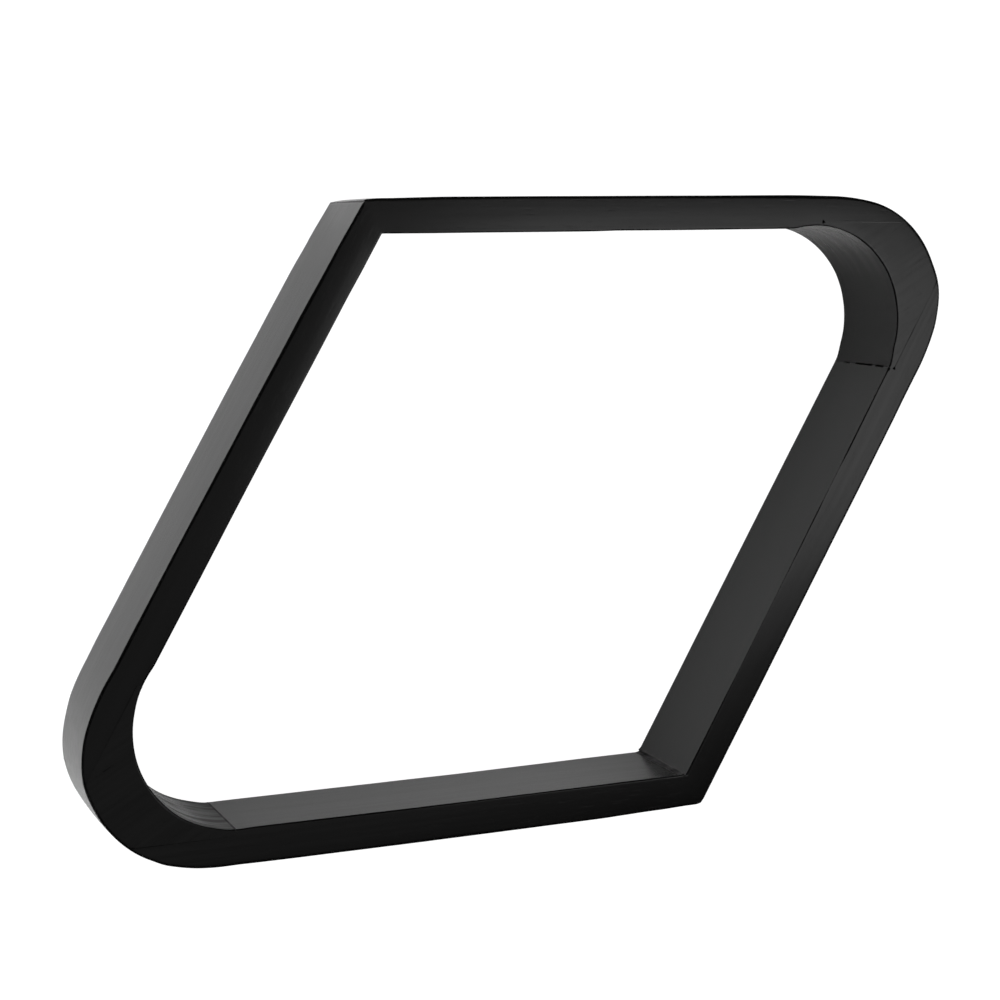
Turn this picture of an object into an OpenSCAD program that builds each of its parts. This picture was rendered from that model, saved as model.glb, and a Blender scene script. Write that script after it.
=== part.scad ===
// Nine-ball diamond rack: four mitred wooden rails, two rounded corner blocks let into
// the rail ends, and two blind dowels across each mitre.
//
// Frame: the rack lies flat. The origin is the centre of its underside, +Z is up, +X runs
// along the long diagonal to the front corner and +Y along the short one to the left corner.

/* [Balls] */
// Diameter of a ball
ball_d = 57.15; // [50:0.05:62]
// Gap between an outer ball and a rail when the nine balls are packed
ball_play = 0.4; // [0:0.1:1.5]

/* [Rails] */
// Thickness of a rail
rail_t = 9.3; // [8.5:0.1:12]
// Height of the rack
rack_h = 29.5; // [24:0.5:40]

/* [Rounded corners] */
// Radius of the outside of a rounded corner
nose_r = 31.4; // [29:0.1:34]
// Radius of the cove inside a rounded corner
cove_r = 28.2; // [27:0.1:29]
// Depth that the cove is cut into the inner faces of the rails
cove_cut = 0.45; // [0.2:0.05:0.8]

/* [Corner block seats] */
// Depth of the rabbet in each rail end
seat_depth = 1.8; // [1:0.1:2.5]
// Distance from the sharp outer corner point to the shoulder of the rabbet
seat_len = 63; // [60:1:66]

/* [Mitre dowels] */
// Diameter of a dowel and its hole
dowel_d = 4; // [3:0.5:5]
// Length of a dowel
dowel_len = 14; // [10:1:15]
// Depth left free at each blind end for glue
glue_room = 0.5; // [0.2:0.1:1]
// Wood between a dowel hole and the inner corner of the mitre
dowel_inset = 1.3; // [1:0.1:2]

/* [Hidden] */
$fn = 96;
side_angle = 30; // each rail against the long diagonal
overcut = 1;

// Three balls lie along each side, so the centres of the corner balls are two diameters apart.
pack_side = 2 * ball_d;
inner_half_short = pack_side * sin(side_angle) + (ball_d / 2 + ball_play) / cos(side_angle);
inner_half_long = inner_half_short / tan(side_angle);
outer_half_short = inner_half_short + rail_t / cos(side_angle);
outer_half_long = outer_half_short / tan(side_angle);

// A circle of radius r that touches both sides of a corner stands r / sin(side_angle)
// from its point.
nose_x = outer_half_long - nose_r / sin(side_angle);
nose_touch_x = nose_x + nose_r * sin(side_angle);
cove_reach = cove_r - cove_cut;
cove_x = inner_half_long - cove_reach / sin(side_angle);
cove_touch_x = cove_x + cove_reach * sin(side_angle);

tail_t = rail_t - seat_depth;
seat_point_x = outer_half_long - tail_t / sin(side_angle);
shoulder_x = outer_half_long - seat_len * cos(side_angle) - tail_t * sin(side_angle);
shoulder_y = seat_len * sin(side_angle) - tail_t * cos(side_angle);
shoulder_meet_x = outer_half_long - seat_len / cos(side_angle);

dowel_y = inner_half_short + dowel_inset + dowel_d / 2;
dowel_low_z = rack_h / 4;
dowel_high_z = rack_h * 3 / 4;

black_paint = [0.07, 0.07, 0.07];
beech = [0.82, 0.66, 0.45];

// A rhombus given by half of each diagonal
module diamond(half_long, half_short) {
    polygon([[half_long, 0], [0, half_short], [-half_long, 0], [0, -half_short]]);
}

// A diamond whose sharp tips end in circles of radius r at +x and -x
module round_tipped_diamond(half_long, half_short, x, touch_x, r) {
    intersection() {
        diamond(half_long, half_short);
        union() {
            square([2 * touch_x, 2 * half_short], center = true);
            for (side = [-1, 1]) translate([side * x, 0]) circle(r = r);
        }
    }
}

// The outside of the rack
module outline() {
    round_tipped_diamond(outer_half_long, outer_half_short, nose_x, nose_touch_x, nose_r);
}

// The space for the balls, with the coves cut a little into the rails
module ball_space() {
    intersection() {
        diamond(inner_half_long, inner_half_short);
        square([2 * cove_touch_x, 2 * inner_half_short], center = true);
    }
    for (side = [-1, 1]) translate([side * cove_x, 0]) circle(r = cove_r);
}

// The whole rack seen from above
module ring() {
    difference() {
        outline();
        ball_space();
    }
}

// The kite between the rabbets of two rail ends, where the front block goes
module block_seat() {
    polygon([
        [seat_point_x, 0], [shoulder_x, shoulder_y],
        [shoulder_meet_x, 0], [shoulder_x, -shoulder_y],
    ]);
}

// Dowel holes through the mitre at y > 0
module mitre_holes() {
    hole_len = dowel_len + 2 * glue_room;
    for (z = [dowel_low_z, dowel_high_z])
        translate([-hole_len / 2, dowel_y, z]) rotate([0, 90, 0]) cylinder(d = dowel_d, h = hole_len);
}

// The front left rail: the quarter of the ring at x > 0, y > 0 less the block's seat
module rail() {
    difference() {
        linear_extrude(height = rack_h) intersection() {
            difference() {
                ring();
                block_seat();
            }
            square([outer_half_long + overcut, outer_half_short + overcut]);
        }
        mitre_holes();
    }
}

// The front block: what the ring holds inside the seat
module corner_block() {
    linear_extrude(height = rack_h) intersection() {
        ring();
        block_seat();
    }
}

// One dowel across the left mitre at height z
module mitre_dowel(z) {
    translate([-dowel_len / 2, dowel_y, z]) rotate([0, 90, 0]) cylinder(d = dowel_d, h = dowel_len);
}

module front_left_rail() { color(black_paint) rail(); }
module front_right_rail() { color(black_paint) mirror([0, 1, 0]) rail(); }
module rear_left_rail() { color(black_paint) mirror([1, 0, 0]) rail(); }
module rear_right_rail() { color(black_paint) rotate([0, 0, 180]) rail(); }
module front_corner_block() { color(black_paint) corner_block(); }
module rear_corner_block() { color(black_paint) rotate([0, 0, 180]) corner_block(); }
module left_mitre_dowel_upper() { color(beech) mitre_dowel(dowel_high_z); }
module left_mitre_dowel_lower() { color(beech) mitre_dowel(dowel_low_z); }
module right_mitre_dowel_upper() { color(beech) rotate([0, 0, 180]) mitre_dowel(dowel_high_z); }
module right_mitre_dowel_lower() { color(beech) rotate([0, 0, 180]) mitre_dowel(dowel_low_z); }

front_left_rail();
front_right_rail();
rear_left_rail();
rear_right_rail();
front_corner_block();
rear_corner_block();
left_mitre_dowel_upper();
left_mitre_dowel_lower();
right_mitre_dowel_upper();
right_mitre_dowel_lower();
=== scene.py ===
"""Looks of the black nine-ball diamond rack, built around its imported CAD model.

The four rails and two corner blocks are meshes lofted through sections, with worn edges and faces
slightly out of true. They stand for the CAD nodes of the same names. The dowels keep their CAD meshes.
"""

import math

import bmesh
import bpy
from mathutils import Matrix, Vector, noise


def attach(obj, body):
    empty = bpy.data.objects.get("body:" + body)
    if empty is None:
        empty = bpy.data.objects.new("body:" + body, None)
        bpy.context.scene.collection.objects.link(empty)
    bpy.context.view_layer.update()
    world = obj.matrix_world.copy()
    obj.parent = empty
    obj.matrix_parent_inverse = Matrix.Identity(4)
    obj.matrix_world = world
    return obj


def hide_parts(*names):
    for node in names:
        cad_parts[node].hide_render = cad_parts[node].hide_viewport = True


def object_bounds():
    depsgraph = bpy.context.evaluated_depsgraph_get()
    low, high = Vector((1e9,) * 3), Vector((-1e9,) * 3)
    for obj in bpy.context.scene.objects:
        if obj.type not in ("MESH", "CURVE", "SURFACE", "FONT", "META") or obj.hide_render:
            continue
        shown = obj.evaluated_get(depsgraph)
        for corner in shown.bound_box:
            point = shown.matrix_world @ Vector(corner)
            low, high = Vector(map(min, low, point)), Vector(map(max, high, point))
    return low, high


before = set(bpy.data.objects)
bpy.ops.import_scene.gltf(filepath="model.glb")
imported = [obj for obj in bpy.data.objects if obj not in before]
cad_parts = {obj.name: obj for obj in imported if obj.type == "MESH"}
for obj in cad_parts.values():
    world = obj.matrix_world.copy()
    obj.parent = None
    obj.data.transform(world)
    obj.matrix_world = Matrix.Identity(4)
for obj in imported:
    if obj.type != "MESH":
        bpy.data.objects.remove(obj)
cad_low, cad_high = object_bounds()

MM = 0.001

# ---------------------------------------------------------------- sizes, in millimetres

HEIGHT = cad_high.z / MM
HALF_SHORT = cad_high.y / MM  # centre to the outside of an obtuse corner
SLANT = math.radians(30)  # between a side and the long diagonal
COS, SIN, TAN = math.cos(SLANT), math.sin(SLANT), math.tan(SLANT)
HALF_LONG = HALF_SHORT / TAN  # centre to where two outer faces would meet in a point
SIDE = HALF_LONG / COS  # outer length of a side, point to obtuse corner
SHOULDER = 63.0  # from the point to the step where a rail thins into its tail
SEAT = 7.5  # thickness of a rail's tail beside the corner block
SEAT_GAP = 0.008  # glue line between a tail and the block
TIP = 0.1  # thickness a tail ends at
NOSE_START = 60.0  # from the point to where the outside starts to turn
NOSE_WIDE = 65.0  # radius of the first, gentle part of the turn
MITRE_START = 191.0  # from the point to where a rail's sections start to turn towards its mitre
MITRE_RUN = 11.0  # from there to the mitre, for the wear of the edges

ARRIS_OUT = 0.6  # how far a nose's sanded outer top edge reaches in
ARRIS_COVE = 0.3  # how far a cove's sanded top edge reaches in
ARRIS_LOW = 0.25  # rounding of the edges the rack stands on
ARRIS_JOINT = 0.012  # rounding where two pieces meet
STEEP, FLAT = 0.9, 0.5  # slopes of the sanded top edges: outer ones have either, all others are steep
CROWN_CORNER = 0.05  # how far the top falls to its edges at the corners
CROWN_REACH = 4.65  # how far from an edge that fall starts
BULGE_IN = 0.06  # how far the inner faces swell at half height
FAR = 99.0  # a depth that is past everything

# Stretches (start, end), as distances from the point, where one thing softly gives way to another
NOSE_TO_RAIL = 58, 66  # the nose's pairs to the rail's
SHIFT_FADES = 45, 75  # the nose's sideways shift to none
EDGE_TO_RAIL = 50, 65  # the sanded edge of the nose to the rail's
CROWN_STARTS = 46, 32  # the rail's crown to the corner's, at the nose
CROWN_ENDS = 188, 200  # the rail's crown to the corner's, at the mitre
SWELL_FADES = MITRE_START, 203  # the outer face's swell to what is left of it at the mitre
SEAM_OPENS = 41, 49  # the filled seam at a tail's tip to the open one

OUTER_LOW, OUTER_TOP, INNER_TOP, INNER_LOW = range(4)  # the long edges, each with its own wear
OPEN_JOINT = 1, -1  # end and side of the joint whose glue line is open in places
# Its slots inside the rack: from and to which share of the height, and how deep
OPEN_SLOTS = (0.19, 0.27, 0.5), (0.40, 0.66, 1.2), (0.75, 0.86, 1.3)
# By end and side, how far the seam on the top face opens where it meets the shoulder
PITS = {(1, 1): 0.8, (1, -1): 0.55}
PIT_START, PIT_RUN = 0.3, 0.9  # how far off the shoulder a pit starts to close, and over what length
PIT_IN_BLOCK = 0.6  # a pit's width on the block's side of the seam, as a share of that on the rail's

# Short lists of pairs give the faces their small errors. They were picked and rounded from
# measured differences between the outlines of a render and the photograph, and some are those values.
# A face has a list for its top edge and one for its bottom edge, or a single list where it is upright.

# Corner blocks: end (1 front, -1 rear), nose radius and sideways shift, cove radius, cove centre from
# the point and its shift. The cutter's streaks have a scale per metre, and a range of noise with the
# roughness at its two ends. The pairs are an angle from the long diagonal (positive to the left) and
# how far the nose stands out or how far the cove stands in.
CORNERS = {
    "front_corner_block": dict(
        end=1, radius=29.7, nose_y=-0.4, cove=28.2, cove_back=74.4, cove_y=0.7,
        streaks=(30, 30, 420), dull=(0.35, 0.6, 0.22, 0.36),
        nose=((-60, 0.2), (-40, 0.35), (-22, 0.75), (-6, 0.26), (60, 0.25)),
        cove_in=((-60, 0.3), (-50, 0.45), (-36, 0.3), (-20, 0.25), (-8, 0.1), (0, 0.0)),
    ),
    "rear_corner_block": dict(
        end=-1, radius=30.0, nose_y=0.2, cove=28.2, cove_back=74.4, cove_y=0.4,
        streaks=(40, 40, 380), dull=(0.38, 0.62, 0.2, 0.44),
        nose_top=((-60, 0.55), (-44, 0.32), (-34, 0.0), (-8, -0.24), (4, -0.18), (22, 0.2), (38, 0.05)),
        nose_low=((-60, 0.4), (-44, 0.1), (-20, -0.25), (20, -0.35), (44, -0.7), (57, -0.4)),
        cove_in=((-60, 0.1), (-50, 0.25), (-28, 0.2), (-10, 0.4), (40, 0.47), (60, 0.29)),
    ),
}

# Rails: end (1 front, -1 rear), side (1 left, -1 right), how far the mitre's outer edge is eased, how
# far glue fills its inner corner, how far the sanded outer top edge reaches in and its slope, how far
# the top falls to its edges and how far the outer face swells. The pairs are a distance from the point
# and a depth, or how far the sanded inner top edge reaches in.
RAILS = {
    "front_left_rail": dict(
        end=1, side=1, ease=1.6, fillet=0.0, reach=0.65, slope=FLAT, crown=0.05, bulge=0.1,
        outer_top=((60, -0.25), (74, -0.32), (104, -0.23), (145, -0.15), (176, -0.06), (197, 0.3),
                   (203, 0.6)),
        outer_low=((60, -0.25), (74, -0.32), (104, -0.23), (145, -0.15), (176, -0.06), (197, 0.3),
                   (203, 1.0)),
        inner=((75, 9.22), (100, 9.32), (125, 9.32), (137, 9.5), (190, 9.58)),
        inner_reach=((60, 0.3),),
    ),
    "front_right_rail": dict(
        end=1, side=-1, ease=2.0, fillet=1.5, reach=0.6, slope=FLAT, crown=0.02, bulge=0.25,
        outer=((60, -0.2), (66, -0.26), (76, -0.41), (97, -0.41), (120, -0.3), (150, -0.22), (200, 0.0)),
        inner_top=((60, 9.15), (100, 9.05), (135, 8.95), (190, 8.95)),
        inner_low=((60, 9.6), (72, 9.62), (104, 9.75), (130, 9.84), (188, 9.92)),
        inner_reach=((63, 0.24), (72, 0.2), (80, 0.28), (91, 0.3), (98, 0.07), (104, 0.07), (111, 0.23),
                     (122, 0.2), (134, 0.1), (162, 0.1), (174, 0.3), (197, 0.35)),
    ),
    "rear_left_rail": dict(
        end=-1, side=1, ease=1.6, fillet=0.0, reach=0.65, slope=STEEP, crown=0.17, bulge=0.25,
        outer_top=((60, 0.14), (75, 0.0), (95, -0.03), (135, 0.14), (165, 0.37), (185, 0.68),
                   (203, 1.05)),
        outer_low=((60, 0.3), (70, 0.14), (107, 0.05), (140, 0.08), (165, 0.2), (179, 0.3), (190, 0.62),
                   (203, 1.1)),
        inner=((72, 9.25), (93, 9.25), (115, 9.16), (177, 9.36), (188, 9.52)),
        inner_reach=((60, 0.3),),
    ),
    "rear_right_rail": dict(
        end=-1, side=-1, ease=2.0, fillet=1.5, reach=0.6, slope=FLAT, crown=0.05, bulge=0.25,
        outer=((60, -0.45), (84, -0.58), (120, -0.65), (168, -0.55), (188, -0.2), (199, 0.05)),
        inner_top=((68, 9.5), (120, 9.35), (145, 9.4), (188, 9.5)),
        inner_low=((68, 9.31), (118, 9.25), (135, 9.2), (188, 9.48)),
        inner_reach=((60, 0.35),),
    ),
}


def blend(a, b, u):
    """From a to b as u goes from 0 to 1, with a soft start and end."""
    u = min(max(u, 0.0), 1.0)
    return a + (b - a) * u * u * (3 - 2 * u)


def share(s, stretch):
    """Share of a stretch (start, end) that lies before s."""
    start, end = stretch
    return (s - start) / (end - start)


def through(pairs, s):
    """A soft curve through (place, value) pairs, level before the first and after the last."""
    if s <= pairs[0][0]:
        return pairs[0][1]
    for (s0, v0), (s1, v1) in zip(pairs, pairs[1:]):
        if s <= s1:
            return blend(v0, v1, (s - s0) / (s1 - s0))
    return pairs[-1][1]


def by_hand(piece, face, place, t):
    """Value of a face's pairs at a place along it; t is the share of the height."""
    top = piece.get(face + "_top") or piece[face]
    low = piece.get(face + "_low") or piece[face]
    return through(low, place) * (1 - t) + through(top, place) * t


def ripple(*where):
    """Noise between about -1 and 1, always the same at the same place."""
    return noise.noise(Vector(where))


def spot(end, side, s, depth):
    """Plan point s along a side from its point, depth inward from the side's outer line."""
    return Vector((end * (HALF_LONG - s * COS - depth * SIN), side * (s * SIN - depth * COS)))


# ---------------------------------------------------------------- outlines
#
# s is the distance along a side from its point, depth the distance inward from the side's outer line
# and t the share of the height. u and v are shares of whatever else is being gone along.


def nose_turn(small):
    """Angle through which the wide part of a nose turns, for a small arc centred on the long diagonal."""
    return math.acos((COS * NOSE_WIDE - SIN * NOSE_START) / (NOSE_WIDE - small)) - SLANT


def nose_centre(small):
    """Centre of a nose's small arc: distance along a side from the point, and depth."""
    turn = nose_turn(small)
    gap = NOSE_WIDE - small
    return NOSE_START - gap * math.sin(turn), NOSE_WIDE - gap * math.cos(turn)


def nose_depth(small, s):
    """Depth of the rounded outside of the rack below a side's outer line."""
    if s >= NOSE_START:
        return 0.0
    if s >= NOSE_START - NOSE_WIDE * math.sin(nose_turn(small)):
        return NOSE_WIDE - math.sqrt(NOSE_WIDE**2 - (NOSE_START - s) ** 2)
    along, depth = nose_centre(small)
    return depth - math.sqrt(small**2 - (s - along) ** 2)


def corner_of(end):
    """The corner block at one end of the rack."""
    return next(c for c in CORNERS.values() if c["end"] == end)


def nose_middle(corner):
    """Plan centre of a nose's small arc."""
    along, depth = nose_centre(corner["radius"])
    return Vector((spot(corner["end"], 1, along, depth).x, corner["nose_y"]))


def outer_point(rail, s, t):
    """Plan point on a rail's outer face; t is the share of the height. On the nose, what its own pairs
    say comes in the place of the rail's."""
    corner = corner_of(rail["end"])
    turned = blend(1, 0, share(s, NOSE_TO_RAIL))
    swell = rail["bulge"] * blend(1, 0.3, share(s, SWELL_FADES)) * 4 * t * (1 - t)
    depth = nose_depth(corner["radius"], s) + (by_hand(rail, "outer", s, t) - swell) * (1 - turned)
    depth += TAN / (2 * rail["ease"]) * max(0.0, s - (SIDE - rail["ease"])) ** 2
    shift = corner["nose_y"] * blend(1, 0, share(s, SHIFT_FADES))
    point = spot(rail["end"], rail["side"], s, depth) + Vector((0, shift))
    if turned:
        out = (point - nose_middle(corner)).normalized()
        angle = math.degrees(math.atan2(out.y, out.x * corner["end"]))
        point += out * (by_hand(corner, "nose", angle, t) + swell) * turned
    return point


def cove_depth(rail, s):
    """Depth of the cove's circle below a side's outer line, or FAR outside it."""
    corner = corner_of(rail["end"])
    along = corner["cove_back"] * COS + rail["side"] * corner["cove_y"] * SIN
    depth = corner["cove_back"] * SIN - rail["side"] * corner["cove_y"] * COS
    at_shoulder = 60 * rail["side"]
    radius = corner["cove"] - through(corner["cove_in"], at_shoulder)
    reach = radius**2 - (s - along) ** 2
    return depth - math.sqrt(reach) if reach > 0 else FAR


def inner_depth(rail, s, t):
    """Depth of a rail's inner face, a little out of true, with a ragged fillet of glue at the mitre and
    the cove's run-out cut softly into its other end."""
    wander, ragged, soft = 0.03, 0.35, 0.06
    straight = by_hand(rail, "inner", s, t)
    straight += wander * ripple(s * 0.05, rail["end"] * 3.1, rail["side"] * 7.7)
    mitre = SIDE - straight * TAN
    fillet = rail["fillet"] * (1 + ragged * ripple(t * 7, rail["side"], rail["end"] * 2))
    if fillet and s > mitre - fillet:
        straight += TAN / (2 * fillet) * (min(s, mitre) - mitre + fillet) ** 2
    cut = cove_depth(rail, s)
    mean, half = (straight + cut) / 2, (straight - cut) / 2
    return mean - math.sqrt(half**2 + soft**2)


def inner_point(rail, s, t):
    """Plan point on a rail's inner face."""
    return spot(rail["end"], rail["side"], s, inner_depth(rail, s, t))


def slot(rail, t):
    """Depth of the open slots in the joint between a rail's shoulder and the block, by share of the
    height. Only the front right joint has them."""
    deep, soft = 0.0, 0.03
    if (rail["end"], rail["side"]) == OPEN_JOINT:
        for start, end, cut in OPEN_SLOTS:
            deep += cut * blend(0, 1, (t - start) / soft) * blend(1, 0, (t - end) / soft)
    return deep


def rough_joint(rail, t):
    """How bare of paint the edges of the joint at a shoulder are, by share of the height."""
    if (rail["end"], rail["side"]) == OPEN_JOINT:
        return min(1.0, 2 * slot(rail, t))
    return 0.75 + 0.3 * ripple(t * 8, rail["end"], rail["side"] * 2)


# ---------------------------------------------------------------- meshes

# A sanded top edge in section: (share of its reach inward, drop as a share of its reach times slope)
SANDED = ((0.0, 1.2), (0.03, 1.03), (0.16, 0.84), (0.88, 0.12), (1.12, 0.0))
EDGE_DROP, EDGE_END = SANDED[0][1], SANDED[-1][0]
# Where a section has points: shares across the middle of its top, shares up its walls, and shares
# across its underside
ACROSS = (0.03, 0.1, 0.22, 0.36, 0.5, 0.64, 0.78, 0.9, 0.97, 1.0)
UP = (0.0, 0.008, 0.03) + tuple(0.06 + 0.88 * k / 34 for k in range(35)) + (0.97, 0.992, 1.0)
UNDER = (0.0, 0.1, 0.5, 0.9, 1.0)
# Where the turn to a rail's mitre has rings
MITRE_SHARES = (0.0, 0.2, 0.4, 0.55, 0.68, 0.78, 0.84, 0.88, 0.91, 0.935, 0.955, 0.97, 0.98, 0.99, 1.0)
ROUND_STEPS = 4  # sides of a rounded bottom edge
EDGE_AT_MITRE = 0.35  # share of an edge's size that is left at the mitre
SEATED = 0.3  # share of the way round a block that lies beside either tail
AT_SHOULDER, SLOTS_END = 0.001, 0.0045  # shares up to which a block's rings are at its ends
SAME_POINT = 1e-7  # metres, under which two points of a mesh are one
CREASE = math.radians(42)  # faces that meet at more than this show a sharp edge


def sanded_off(inward):
    """How far an edge is sanded down at a share of its reach inward, in units of reach times slope."""
    for (x0, y0), (x1, y1) in zip(SANDED, SANDED[1:]):
        if inward < x1:
            return y0 + (y1 - y0) * (inward - x0) / (x1 - x0)
    return 0.0


def painted(t):
    """How bare a fully painted face is at a share of the height."""
    return 0.0


def section(outer, inner, rim, rounds, crown, bulge, hidden=(0.0, 0.0), bare=painted):
    """Ring of points round one section, each with how bare it is of paint. outer and inner give plan
    points by share of the height. rim is the reach and slope of the sanding along the rack's own outer
    top edge, and rounds holds the sizes of this piece's edges (outer low, outer top where it is a joint,
    inner top, inner low). crown and bulge say how far the top falls to the rack's edges and how far the
    inner face swells, hidden how far the rack's outer and inner edges lie beyond this piece's, and bare
    how thin the paint is up the inner face."""
    width, base = ((inner(t) - outer(t)).length for t in (1.0, 0.0))
    limits = 0.75 * base, 0.3 * width, 0.3 * width, 0.2 * base  # edges stay apart on a thin tail
    out_low, out_top, in_top, in_low = (min(r, limit) for r, limit in zip(rounds, limits))
    inward = (inner(1.0) - outer(1.0)).normalized()
    ring = []

    def top_at(from_outer):
        """Height of the top at a distance from the section's outer side."""
        away = hidden[0] + from_outer
        fall = max(0.0, 1 - max(away, rim[0]) / CROWN_REACH) ** 2
        fall += max(0.0, 1 - max(hidden[1] + width - from_outer, in_top) / CROWN_REACH) ** 2
        return HEIGHT - crown * fall - rim[0] * rim[1] * sanded_off(away / rim[0])

    def put(plan, shift, z, thin=0.0):
        """Adds a point: a plan point shifted inward, at a height, and how bare it is."""
        p = plan + inward * shift
        ring.append((Vector((p.x, p.y, z)) * MM, thin))

    def wall(face, swell, low, high, rising, thin=painted):
        """Points of a wall between two heights, upward or downward."""
        for u in UP if rising else reversed(UP):
            z = low + (high - low) * u
            put(face(z / HEIGHT), swell * 4 * u * (1 - u), z, thin(z / HEIGHT))

    def rounded(face, sign, radius, first, last):
        """Points of a rounded bottom edge between two angles, without its two ends."""
        for k in range(1, ROUND_STEPS):
            a = math.radians(first + (last - first) * k / ROUND_STEPS)
            z = radius * (1 + math.sin(a))
            put(face(z / HEIGHT), sign * radius * (1 - math.cos(a)), z)

    def sanded(face, sign, reach, rising):
        """Points of a piece's own sanded top edge, a soft bevel, without its two ends."""
        for across, down in SANDED[1:-1] if rising else SANDED[-2:0:-1]:
            z = top_at(across * reach if sign > 0 else width - across * reach) - down * reach * STEEP
            put(face(z / HEIGHT), sign * across * reach, z)

    wall(outer, 0.0, out_low, top_at(0.0) - EDGE_DROP * out_top * STEEP, True)
    sanded(outer, 1, out_top, True)
    first, last = EDGE_END * out_top, width - EDGE_END * in_top
    start = first
    for across, _ in SANDED[1:]:
        start = min(max(first, across * rim[0] - hidden[0]), last)
        put(outer(top_at(start) / HEIGHT), start, top_at(start))
    for u in ACROSS:
        reach = start + (last - start) * u
        put(outer(1.0), reach, top_at(reach))
    sanded(inner, -1, in_top, False)
    wall(inner, bulge, in_low, top_at(width) - EDGE_DROP * in_top * STEEP, False, bare)
    rounded(inner, -1, in_low, 0, -90)
    a, b = inner(0.0) - inward * in_low, outer(0.0) + inward * out_low
    for u in UNDER:
        put(a.lerp(b, u), 0.0, 0.0)
    rounded(outer, 1, out_low, -90, 0)
    return ring


def loft(name, rings, material):
    """Closed mesh through rings of points, capped at both ends, that stands for a CAD node."""
    mesh = bmesh.new()
    bare = mesh.verts.layers.float.new("bare")
    rows = []
    for ring in rings:
        rows.append([mesh.verts.new(p) for p, _ in ring])
        for vert, (_, thin) in zip(rows[-1], ring):
            vert[bare] = thin
    count = len(rows[0])
    for row, after in zip(rows, rows[1:]):
        for k in range(count):
            n = (k + 1) % count
            mesh.faces.new((row[k], row[n], after[n], after[k]))
    for row in (rows[0], rows[-1]):
        mesh.faces.new(row)
    bmesh.ops.remove_doubles(mesh, verts=mesh.verts, dist=SAME_POINT)
    bmesh.ops.triangulate(mesh, faces=[f for f in mesh.faces if len(f.verts) > 4])
    bmesh.ops.recalc_face_normals(mesh, faces=mesh.faces)
    for face in mesh.faces:
        face.smooth = True
    data = bpy.data.meshes.new(name + "_painted")
    mesh.to_mesh(data)
    mesh.free()
    data.set_sharp_from_angle(angle=CREASE)
    data.materials.append(material)
    piece = bpy.data.objects.new(name + "_painted", data)
    bpy.context.scene.collection.objects.link(piece)
    even = piece.modifiers.new("even_normals", "WEIGHTED_NORMAL")
    even.keep_sharp = True
    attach(piece, "root")
    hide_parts(name)
    return piece


def stops(*runs):
    """Distances from (start, end, step) runs, each without its end."""
    found = []
    for start, end, step in runs:
        count = max(1, round((end - start) / step))
        found += [start + (end - start) * k / count for k in range(count)]
    return found


def tail_tip(rail):
    """Distance from the point where the nose has cut a rail's tail down to a thin edge."""

    def depth(s, t):
        """Depth of the outer face below the side's outer line."""
        p = outer_point(rail, s, t)
        return (HALF_LONG - p.x * rail["end"]) * SIN - p.y * rail["side"] * COS

    s, step = NOSE_START, 0.05
    while max(depth(s, 0.0), depth(s, 1.0)) < SEAT - TIP:
        s -= step
    return s


def worn(radius, rail, s, which):
    """Size of one of the long edges as hand sanding leaves it, changing along the rail."""
    long = ripple(s * 0.035, rail["end"] * 2.3 + which * 5.1, rail["side"] * 4.7)
    short = ripple(s * 0.31, rail["end"] * 1.7 + which * 3.3, rail["side"] * 6.1)
    return radius * (1 + 0.25 * long + 0.15 * short)


def outer_edge(rail, s):
    """How far a rail's outer top edge reaches in, the same as the nose's where the two meet."""
    return worn(blend(ARRIS_OUT, rail["reach"], share(s, EDGE_TO_RAIL)), rail, s, OUTER_TOP)


def inner_edge(rail, s):
    """How far a rail's inner top edge reaches in."""
    return worn(through(rail["inner_reach"], s), rail, s, INNER_TOP)


def crown_at(rail, s):
    """How far a rail's top falls to its edges, evened out at the nose and where two rails meet."""
    return blend(rail["crown"], CROWN_CORNER, max(share(s, CROWN_STARTS), share(s, CROWN_ENDS)))


def worn_joint(end, side, s):
    """Edge size along the seam between a tail and its block: filled here, open there."""
    if (end, side) != OPEN_JOINT:
        return ARRIS_JOINT
    open_here = 0.12 * max(0.0, ripple(s * 0.4, 8, 3)) + 0.06 * max(0.0, ripple(s * 1.7, 2, 9))
    return ARRIS_JOINT + open_here * blend(0, 1, share(s, SEAM_OPENS))


def pit(end, side, s):
    """How much more the seam's edges are rounded where it ends at the shoulder."""
    return PITS.get((end, side), 0.0) * blend(1, 0, (SHOULDER - s - PIT_START) / PIT_RUN)


def seat_point(rail, s, depth):
    """Plan point on the seat between a tail and its block. The tail's thin end leans back a little, so
    that it lies flush with the block's sections."""
    lean, thin = 0.2, 3.0
    thick = (spot(rail["end"], rail["side"], s, SEAT) - outer_point(rail, s, 1.0)).length
    return spot(rail["end"], rail["side"], s + lean * thick * blend(1, 0, thick / thin), depth)


def tail_ring(rail, s):
    """Ring of a rail's thinned tail, which lies beside the corner block."""
    joint = worn_joint(rail["end"], rail["side"], s) + pit(rail["end"], rail["side"], s)
    seat = seat_point(rail, s, SEAT)
    return section(
        lambda t: outer_point(rail, s, t),
        lambda t: seat,
        (outer_edge(rail, s), rail["slope"]),
        (worn(ARRIS_LOW, rail, s, OUTER_LOW), 0.0, joint, ARRIS_JOINT),
        crown_at(rail, s),
        0.0,
        (0.0, max(0.0, cove_depth(rail, s) - SEAT)),
    )


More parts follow.
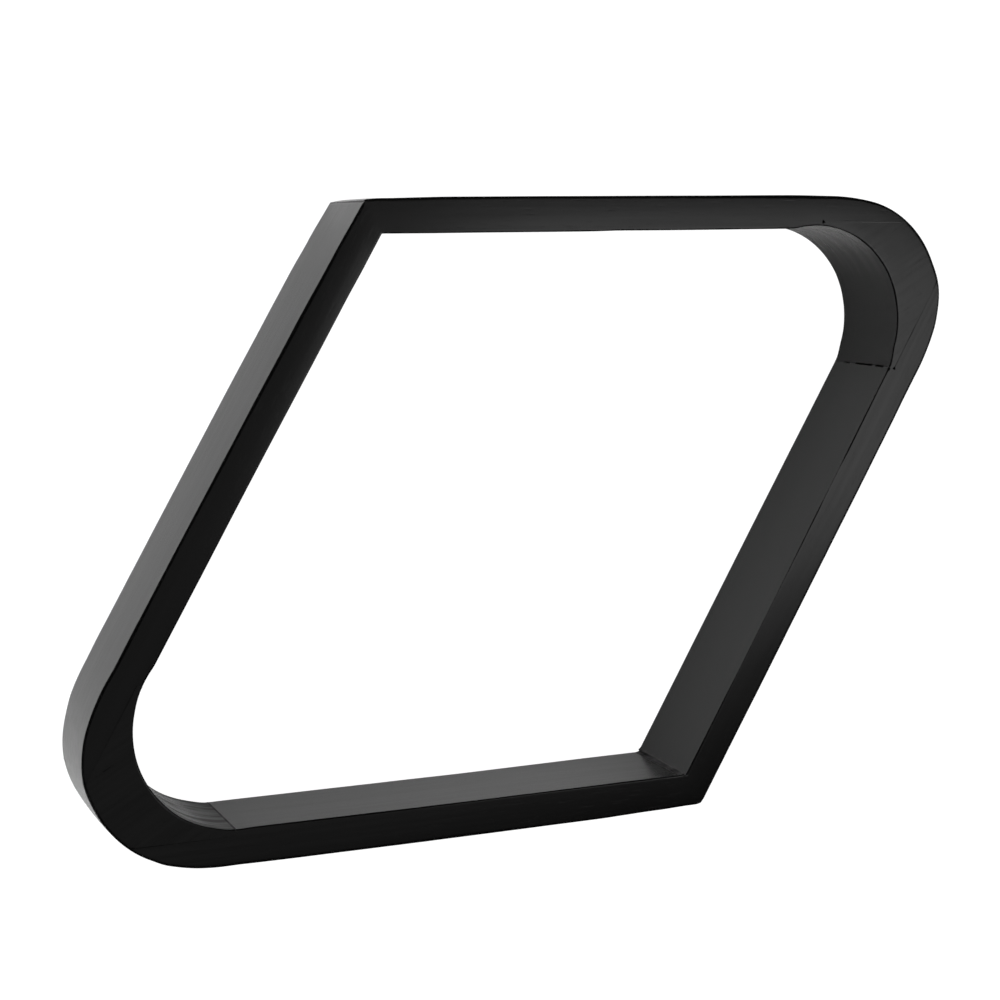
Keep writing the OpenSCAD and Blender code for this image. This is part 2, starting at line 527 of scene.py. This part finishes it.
def body_ring(rail, step, opened):
    """Ring of a rail at its full thickness, a step past its shoulder. opened says that it lies where the
    joint's slots are cut."""
    end, side = rail["end"], rail["side"]
    s = SHOULDER + step
    at_joint = step < 0.1

    def inside(t):
        return spot(end, side, s, inner_depth(rail, s, t) - (slot(rail, t) if opened else 0.0))

    arris = ARRIS_JOINT if at_joint else inner_edge(rail, s)
    if (end, side) == OPEN_JOINT:
        arris += 0.45 * blend(1, 0, step / 1.6) * (0.6 + 0.6 * ripple(s * 2.1, 4, 4))
    low = ARRIS_JOINT if at_joint else worn(ARRIS_LOW, rail, s, INNER_LOW)
    return section(
        lambda t: outer_point(rail, s, t),
        inside,
        (outer_edge(rail, s), rail["slope"]),
        (worn(ARRIS_LOW, rail, s, OUTER_LOW), 0.0, arris, low),
        crown_at(rail, s),
        BULGE_IN,
        bare=lambda t: rough_joint(rail, t) if opened else 0.0,
    )


def rail_rings(rail):
    """Rings of a rail, from the thin end of its tail to its mitre. They lie closest where the outline
    turns most: at the tail's tip, at the shoulder and at the mitre."""
    tip = tail_tip(rail)
    tail = stops((tip, tip + 2, 0.4), (tip + 2, SHOULDER - 1.2, 1.3), (SHOULDER - 1.2, SHOULDER, 0.2))
    body = stops((0.32, 0.4, 0.08), (0.4, 4, 0.35), (4, 14, 0.8), (14, MITRE_START - SHOULDER, 2.0))
    rings = [tail_ring(rail, s) for s in tail]
    rings += [body_ring(rail, step, True) for step in (0.03, 0.27)]
    rings += [body_ring(rail, step, False) for step in body]
    return rings + [mitre_ring(rail, u) for u in MITRE_SHARES]


def mitre_ring(rail, u):
    """Ring that turns from square across the rail at MITRE_START to the mitre plane at u = 1. Each face
    steps towards its own distance to that plane."""
    tries = 4

    def outside(t):
        mitre = SIDE
        for _ in range(tries):
            mitre += outer_point(rail, mitre, t).x * rail["end"] / COS
        return outer_point(rail, MITRE_START + (mitre - MITRE_START) * u, t)

    def inside(t):
        mitre = SIDE
        for _ in range(tries):
            mitre = SIDE - inner_depth(rail, mitre, t) * TAN
        return inner_point(rail, MITRE_START + (mitre - MITRE_START) * u, t)

    small = blend(1, EDGE_AT_MITRE, (u - 0.9) / 0.1)
    s = MITRE_START + MITRE_RUN * u
    glue_start = 0.7 if rail["end"] < 0 else 0.94
    glue = blend(0, 1, (u - glue_start) / 0.1) if rail["fillet"] else 0.0
    return section(
        outside,
        inside,
        (outer_edge(rail, s) * small, rail["slope"]),
        (ARRIS_LOW * small, 0.0, inner_edge(rail, s) * small, ARRIS_LOW * small),
        crown_at(rail, s),
        BULGE_IN,
        bare=lambda t: (0.75 + 0.5 * ripple(t * 9, 3, 3)) * glue,
    )


def block_rings(corner):
    """Rings of a corner block, from its left shoulder round the nose to its right one. Their place u goes
    from 0 at the left shoulder to 1 at the right one."""
    end = corner["end"]
    rails = {r["side"]: r for r in RAILS.values() if r["end"] == end}
    middle = nose_middle(corner)
    cove = Vector((end * (HALF_LONG - corner["cove_back"]), corner["cove_y"]))
    tips, ends = {}, {}
    for side, rail in rails.items():
        tips[side] = tail_tip(rail)
        p = outer_point(rail, tips[side], 1.0) - middle
        ends[side] = math.atan2(p.y, p.x * end)

    def polar(side, t):
        """Angle and distance from the cove's centre of the inner face just short of a shoulder."""
        p = inner_point(rails[side], SHOULDER - 0.03, t) - cove
        return math.atan2(p.y, p.x * end), p.length

    def inside(u, t, cut):
        """Point on the cove, where cut deepens the slots at a shoulder."""
        near = 0.12
        (a0, r0), (a1, r1) = polar(1, t), polar(-1, t)
        a = a0 + (a1 - a0) * u
        reach = corner["cove"] - through(corner["cove_in"], math.degrees(a))
        reach += (r0 - reach) * blend(1, 0, u / near) + (r1 - reach) * blend(1, 0, (1 - u) / near)
        return cove + (reach + cut) * Vector((end * math.cos(a), math.sin(a)))

    def nose(a, t, swell):
        """Point on the nose at an angle from the long diagonal."""
        reach = corner["radius"] + by_hand(corner, "nose", math.degrees(a), t) + swell * 4 * t * (1 - t)
        return middle + reach * Vector((end * math.cos(a), math.sin(a)))

    def edge(v):
        """How far the nose's sanded top edge reaches in, the same as the rails' where it meets them."""
        near = 0.15
        left = (outer_edge(rails[1], tips[1]) - ARRIS_OUT) * blend(1, 0, v / near)
        right = (outer_edge(rails[-1], tips[-1]) - ARRIS_OUT) * blend(1, 0, (1 - v) / near)
        return ARRIS_OUT + left + right

    def ring(u, outside, reach, out_low, out_top, beyond):
        """Ring with a given outer side and the cove as its inner side."""
        rail = rails[1 if u < 0.5 else -1]
        to_shoulder = min(u, 1 - u)
        opened = to_shoulder < SLOTS_END
        in_top, in_low = ARRIS_COVE * (1.1 + 0.25 * ripple(u * 9, end * 3, 5)), ARRIS_LOW
        if to_shoulder < AT_SHOULDER:
            in_top = in_low = ARRIS_JOINT
        return section(
            outside,
            lambda t: inside(u, t, slot(rail, t) if opened else 0.0),
            (reach, blend(rails[1]["slope"], rails[-1]["slope"], (u - 0.48) / 0.04)),
            (out_low, out_top, in_top, in_low),
            CROWN_CORNER,
            BULGE_IN,
            (beyond, 0.0),
            lambda t: rough_joint(rail, t) if opened else 0.0,
        )

    def seated(side, v, u):
        """Ring against a rail's seat, where v goes from 0 at the shoulder to 1 at the tail's tip."""
        s = SHOULDER - (SHOULDER - tips[side]) * v
        seat = seat_point(rails[side], s, SEAT + SEAT_GAP)
        joint = worn_joint(end, side, s) + PIT_IN_BLOCK * pit(end, side, s)
        beyond = (seat - outer_point(rails[side], s, 1.0)).length
        return ring(u, lambda t: seat, outer_edge(rails[side], s), ARRIS_JOINT, joint, beyond)

    def clear(v, u):
        """Ring on the free nose, where v goes from 0 at the left tail's tip to 1 at the right one's."""
        a = ends[1] + (ends[-1] - ends[1]) * v
        swell = blend(rails[1]["bulge"], rails[-1]["bulge"], v)
        return ring(u, lambda t: nose(a, t, swell), edge(v), ARRIS_LOW, 0.0, 0.0)

    shares = [0.0, 0.004] + stops((0.005, 0.03, 0.006), (0.03, SEATED, 0.015))
    start = SEATED + 0.004
    rings = [seated(1, u / SEATED, u) for u in shares] + [seated(1, 1.0, SEATED)]
    rings += [clear(v, start + (1 - 2 * start) * v) for v in stops((0, 1, 0.03)) + [1.0]]
    rings += [seated(-1, 1.0, 1 - SEATED)]
    return rings + [seated(-1, u / SEATED, 1 - u) for u in reversed(shares)]


# ---------------------------------------------------------------- materials

# Noise scales per metre: along the grain, across it and upward
GRAIN, PORES, WAVES, FLECKS = (22, 900, 700), (160, 2600, 2200), (28, 60, 60), (180, 2400, 2400)
# The paint's own colour and roughness, from the grain's low to its high places, and where it is bare
PAINT_GREY = 0.0008, 0.0016
PAINT_ROUGH = 0.25, 0.20
BARE_ROUGH = 0.7
PAINT_IOR = 1.5
PAINT_TINT = {"Red": 1.0, "Green": 0.985, "Blue": 0.97}
# Depths of the paint's relief, in metres
WAVE_DEPTH = 0.00006
GRAIN_DEPTH = {"rail": 0.000006, "block": 0.000002}
PORE_DEPTH = 0.000006
STREAK_DEPTH = 0.000018
FLECK_DEPTH = 0.00002
# The coves: distances from their centres between which their walls end, in metres, the roughness at the
# right end of the front one, the grey of the painted light on the streaks at its left end, and what the
# rear one's right end has more in roughness
COVE_ENDS = 0.0295, 0.0305
FRONT_DULL, FRONT_PAINTED_LIGHT = 0.5, 0.1
REAR_DULLER = 0.14
# The glue line on the front block: its soft width and where it starts, in metres, and its grey
GLUE_WIDTH = 0.0001, 0.0004
GLUE_START = 0.113, 0.115
GLUE_GREY = 0.004, 0.02
FIRST_BLOCK_SEED = 5  # past the rails' own
BEECH_PALE, BEECH_DARK, BEECH_ROUGH = (0.62, 0.43, 0.26, 1), (0.42, 0.26, 0.14, 1), 0.6


def tree_of(name):
    """A new material with its node tree and shader."""
    material = bpy.data.materials.new(name)
    material.use_nodes = True
    return material, material.node_tree, material.node_tree.nodes["Principled BSDF"]


def add(tree, kind, **values):
    """A node with its inputs and settings given by name; a value may be another node's socket."""
    made = tree.nodes.new(kind)
    for key, value in values.items():
        if key in made.inputs:
            if isinstance(value, bpy.types.NodeSocket):
                tree.links.new(value, made.inputs[key])
            else:
                made.inputs[key].default_value = value
        else:
            setattr(made, key, value)
    return made


def stretched(tree, turn, scale, offset, detail=2.0, roughness=0.5):
    """Noise in the rack's own space, turned about Z and stretched by its scale per metre."""
    where = add(tree, "ShaderNodeTexCoord").outputs["Object"]
    turned = add(tree, "ShaderNodeVectorRotate", rotation_type="Z_AXIS", Vector=where, Angle=turn)
    laid = add(tree, "ShaderNodeMapping", Vector=turned.outputs[0], Scale=scale, Location=offset)
    spots = add(tree, "ShaderNodeTexNoise", Vector=laid.outputs[0], Scale=1.0, Detail=detail)
    spots.inputs["Roughness"].default_value = roughness
    return spots.outputs["Fac"]


def bump(tree, height, distance, normal=None):
    """Normal of a relief as high as a distance in metres, laid over another normal."""
    made = add(tree, "ShaderNodeBump", Height=height, Strength=1.0, Distance=distance)
    if normal is not None:
        tree.links.new(normal, made.inputs["Normal"])
    return made.outputs["Normal"]


def math_node(tree, operation, *values):
    """Result of a maths node on numbers or sockets."""
    made = add(tree, "ShaderNodeMath", operation=operation)
    for socket, value in zip(made.inputs, values):
        if isinstance(value, bpy.types.NodeSocket):
            tree.links.new(value, socket)
        else:
            socket.default_value = value
    return made.outputs[0]


def between(tree, value, start, end, low=0.0, high=1.0):
    """Soft step from low to high as value goes from start to end."""
    made = add(tree, "ShaderNodeMapRange", interpolation_type="SMOOTHSTEP", Value=value)
    for key, number in (("From Min", start), ("From Max", end), ("To Min", low), ("To Max", high)):
        made.inputs[key].default_value = number
    return made.outputs["Result"]


def mixed(tree, part, a, b):
    """Number a where part is 0 and b where it is 1."""
    made = add(tree, "ShaderNodeMix", data_type="FLOAT")
    for socket, value in zip(made.inputs, (part, None, a, b)):
        if isinstance(value, bpy.types.NodeSocket):
            tree.links.new(value, socket)
        elif value is not None:
            socket.default_value = value
    return made.outputs["Result"]


def xyz(tree, vector):
    """A vector's three numbers."""
    return add(tree, "ShaderNodeSeparateXYZ", Vector=vector).outputs


def cove_mask(tree, corner, x, y, up):
    """1 on the wall of a corner block's cove and 0 elsewhere. up is the upward part of the normal."""
    back = corner["end"] * (HALF_LONG - corner["cove_back"]) * MM

    def square(value, centre):
        gap = math_node(tree, "SUBTRACT", value, centre)
        return math_node(tree, "MULTIPLY", gap, gap)

    upright = between(tree, math_node(tree, "ABSOLUTE", up), 0.3, 0.6, 1.0, 0.0)
    away = math_node(tree, "SQRT", math_node(tree, "ADD", square(x, back), square(y, 0.0)))
    return math_node(tree, "MULTIPLY", upright, between(tree, away, *COVE_ENDS, 1.0, 0.0))


def glue_line(tree, x, y, up, waves):
    """Grey of the glue that shows on the front block's top face along the front left rail's tail."""
    level = between(tree, up, 0.8, 0.95)
    seam = math_node(tree, "MULTIPLY_ADD", x, -SIN, (HALF_LONG * SIN - SEAT) * MM)
    seam = math_node(tree, "MULTIPLY_ADD", y, -COS, seam)
    line = math_node(tree, "MULTIPLY", between(tree, seam, *GLUE_WIDTH, 1.0, 0.0), level)
    line = math_node(tree, "MULTIPLY", line, between(tree, x, *GLUE_START))
    return math_node(tree, "MULTIPLY", line, between(tree, waves, 0.3, 0.7, *GLUE_GREY))


def black_paint(name, turn, seed, grey=1.0, corner=None):
    """Satin black paint over wood whose grain runs along the piece, duller where it is thin at the
    joints. grey scales its own faint colour. The sawn cove of a corner block is duller too, with streaks
    left round it by the cutter; on the front block, painted light brightens those streaks towards the
    cove's left end."""
    material, tree, shader = tree_of(name)
    shift = (seed * 3.7, seed * 1.3, seed * 2.9)
    grain = stretched(tree, turn, GRAIN, shift, detail=3)
    pores = stretched(tree, turn, PORES, shift, detail=1)
    waves = stretched(tree, turn, WAVES, shift, detail=1)
    thin = add(tree, "ShaderNodeAttribute", attribute_name="bare").outputs["Fac"]
    body = between(tree, grain, 0.3, 0.7, *(level * grey for level in PAINT_GREY))
    rough = between(tree, grain, 0.25, 0.75, *PAINT_ROUGH)
    normal = bump(tree, waves, WAVE_DEPTH)
    normal = bump(tree, grain, GRAIN_DEPTH["block" if corner else "rail"], normal)
    normal = bump(tree, between(tree, pores, 0.62, 0.74, 1.0, 0.0), PORE_DEPTH, normal)
    if corner:
        x, y, _ = xyz(tree, add(tree, "ShaderNodeTexCoord").outputs["Object"])
        up = xyz(tree, add(tree, "ShaderNodeNewGeometry").outputs["Normal"])["Z"]
        cove = cove_mask(tree, corner, x, y, up)
        streaks = stretched(tree, turn, corner["streaks"], shift, detail=4, roughness=0.6)
        dull = between(tree, streaks, *corner["dull"])
        if corner["end"] > 0:  # evenly dull towards its right end, painted light on its streaks towards its left end
            dull = mixed(tree, between(tree, y, 0.014, -0.006), dull, FRONT_DULL)
            # painted light: the cove's streaks get a lighter grey towards its left end, where light falls
            # brighter
            painted_light = between(tree, y, 0.006, 0.024, 0.0, FRONT_PAINTED_LIGHT)
            streaky_painted_light = math_node(tree, "MULTIPLY", painted_light, streaks)
            body = math_node(tree, "ADD", body, math_node(tree, "MULTIPLY", cove, streaky_painted_light))
            body = math_node(tree, "ADD", body, glue_line(tree, x, y, up, waves))
        else:  # duller towards its right end
            dull = math_node(tree, "ADD", dull, between(tree, y, -0.015, -0.021, 0.0, REAR_DULLER))
        rough = mixed(tree, cove, rough, dull)
        normal = bump(tree, math_node(tree, "MULTIPLY", cove, streaks), STREAK_DEPTH, normal)
    rough = mixed(tree, thin, rough, BARE_ROUGH)
    tint = add(tree, "ShaderNodeCombineColor")
    for channel, warmth in PAINT_TINT.items():
        tree.links.new(math_node(tree, "MULTIPLY", body, warmth), tint.inputs[channel])
    tree.links.new(tint.outputs[0], shader.inputs["Base Color"])
    tree.links.new(rough, shader.inputs["Roughness"])
    tree.links.new(normal, shader.inputs["Normal"])
    shader.inputs["IOR"].default_value = PAINT_IOR
    return material


def beech(name):
    """Bare beech of the hidden dowels: pale, with fine lengthwise flecks."""
    material, tree, shader = tree_of(name)
    fleck = stretched(tree, 0.0, FLECKS, (0, 0, 0), detail=2)
    made = add(tree, "ShaderNodeValToRGB", Fac=fleck)
    made.color_ramp.elements[0].color = BEECH_DARK
    made.color_ramp.elements[1].color = BEECH_PALE
    tree.links.new(made.outputs["Color"], shader.inputs["Base Color"])
    shader.inputs["Roughness"].default_value = BEECH_ROUGH
    tree.links.new(bump(tree, fleck, FLECK_DEPTH), shader.inputs["Normal"])
    return material


# ---------------------------------------------------------------- the rack

for number, (name, rail) in enumerate(RAILS.items()):
    along = SLANT * rail["end"] * rail["side"]
    grey = 0.5 if name == "rear_left_rail" else 1.0
    loft(name, rail_rings(rail), black_paint(name + "_paint", along, number, grey))

for number, (name, corner) in enumerate(CORNERS.items()):
    paint = black_paint(name + "_paint", 0.0, number + FIRST_BLOCK_SEED, corner=corner)
    loft(name, block_rings(corner), paint)

dowel_wood = beech("dowel_beech")
for name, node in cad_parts.items():
    if "dowel" in name:
        node.data.materials.clear()
        node.data.materials.append(dowel_wood)

# ---------------------------------------------------------------- floor, light and camera

FLOOR_SIZE = 6.0  # metres
WHITE = (1, 1, 1, 1)
PAPER = (0.9, 0.9, 0.9, 1)
PAPER_GLOW, GLOW_SHARE = 1.12, 0.9  # how bright the floor's own glow is, and its share of what is seen
SKY_LOW, SKY_HIGH = 7.3, 0.43  # brightness of the sky low down and higher up
SKY_TURN = 0.24, 0.44  # heights between which it changes, as sines of the angle above the floor
# The lamps: centre, turn, width, depth and brightness, in metres. The soft box hangs beyond the rack,
# across from the camera, so that the glossy top faces mirror it.
SOFT_BOX = (0.3846, -0.2498, 0.6295), -SLANT, 0.484, 0.23, 1.0
CEILING = (0.0, 0.0, 1.5), 0.0, 1.6, 1.6, 0.14


def floor_material():
    """White paper: it lights the rack as a matt surface, and looks evenly white itself."""
    material, tree, shader = tree_of("white_paper")
    tree.nodes.remove(shader)
    matt = add(tree, "ShaderNodeBsdfDiffuse", Color=PAPER)
    glow = add(tree, "ShaderNodeEmission", Color=WHITE, Strength=PAPER_GLOW)
    seen = add(tree, "ShaderNodeLightPath").outputs["Is Camera Ray"]
    both = add(tree, "ShaderNodeMixShader", Fac=math_node(tree, "MULTIPLY", seen, GLOW_SHARE))
    tree.links.new(matt.outputs[0], both.inputs[1])
    tree.links.new(glow.outputs[0], both.inputs[2])
    tree.links.new(both.outputs[0], tree.nodes["Material Output"].inputs["Surface"])
    return material


def floor():
    """Level sheet under the rack."""
    mesh = bmesh.new()
    bmesh.ops.create_grid(mesh, x_segments=1, y_segments=1, size=FLOOR_SIZE / 2)
    data = bpy.data.meshes.new("floor")
    mesh.to_mesh(data)
    mesh.free()
    data.materials.append(floor_material())
    made = bpy.data.objects.new("floor", data)
    bpy.context.scene.collection.objects.link(made)


def sky():
    """Soft white light from all round, strongest from low down. Matt surfaces take it up; the gloss of
    the paint doesn't mirror it."""
    world = bpy.data.worlds.new("studio")
    bpy.context.scene.world = world
    world.use_nodes = True
    tree = world.node_tree
    shine = tree.nodes["Background"]
    shine.inputs["Color"].default_value = WHITE
    where = add(tree, "ShaderNodeTexCoord").outputs["Generated"]
    height = xyz(tree, where)["Z"]
    level = between(tree, height, *SKY_TURN, SKY_LOW, SKY_HIGH)
    seen = add(tree, "ShaderNodeLightPath").outputs["Is Camera Ray"]
    tree.links.new(mixed(tree, seen, level, 1.0), shine.inputs["Strength"])
    world.cycles_visibility.glossy = False


def panel(name, centre, turn, wide, deep, radiance):
    """Level rectangular light that shines down, of one even brightness. Blender spreads its power over
    four times its area."""
    lamp = bpy.data.lights.new(name, "AREA")
    lamp.shape = "RECTANGLE"
    lamp.size, lamp.size_y = wide, deep
    lamp.energy = 4 * wide * deep * radiance
    box = bpy.data.objects.new(name, lamp)
    box.matrix_world = Matrix.Translation(centre) @ Matrix.Rotation(turn, 4, "Z")
    bpy.context.scene.collection.objects.link(box)


def camera():
    """Long-lens camera that looks down at the rack, rolled so that the left side stands up. Its numbers
    come from a perspective fit to the rack's straight edges."""
    aim = Vector((-0.00786, 0.01081, 0.02943))
    distance, azimuth, elevation, roll = 0.5661, 138.934, 66.277, -106.979
    az, el = math.radians(azimuth), math.radians(elevation)
    forward = Vector((math.sin(az) * math.cos(el), math.cos(az) * math.cos(el), -math.sin(el)))
    up = (Vector((0, 0, 1)) - forward * forward.z).normalized()
    up.rotate(Matrix.Rotation(math.radians(roll), 3, forward))
    right = forward.cross(up)
    data = bpy.data.cameras.new("camera")
    data.lens = 74.29
    data.clip_start, data.clip_end = 0.01, 20
    made = bpy.data.objects.new("camera", data)
    turn = Matrix((right, up, -forward)).transposed().to_4x4()
    made.matrix_world = Matrix.Translation(aim - forward * distance) @ turn
    bpy.context.scene.collection.objects.link(made)
    bpy.context.scene.camera = made


floor()
sky()
panel("soft_box", *SOFT_BOX)
panel("ceiling", *CEILING)
camera()
bpy.context.scene.view_settings.view_transform = "Standard"
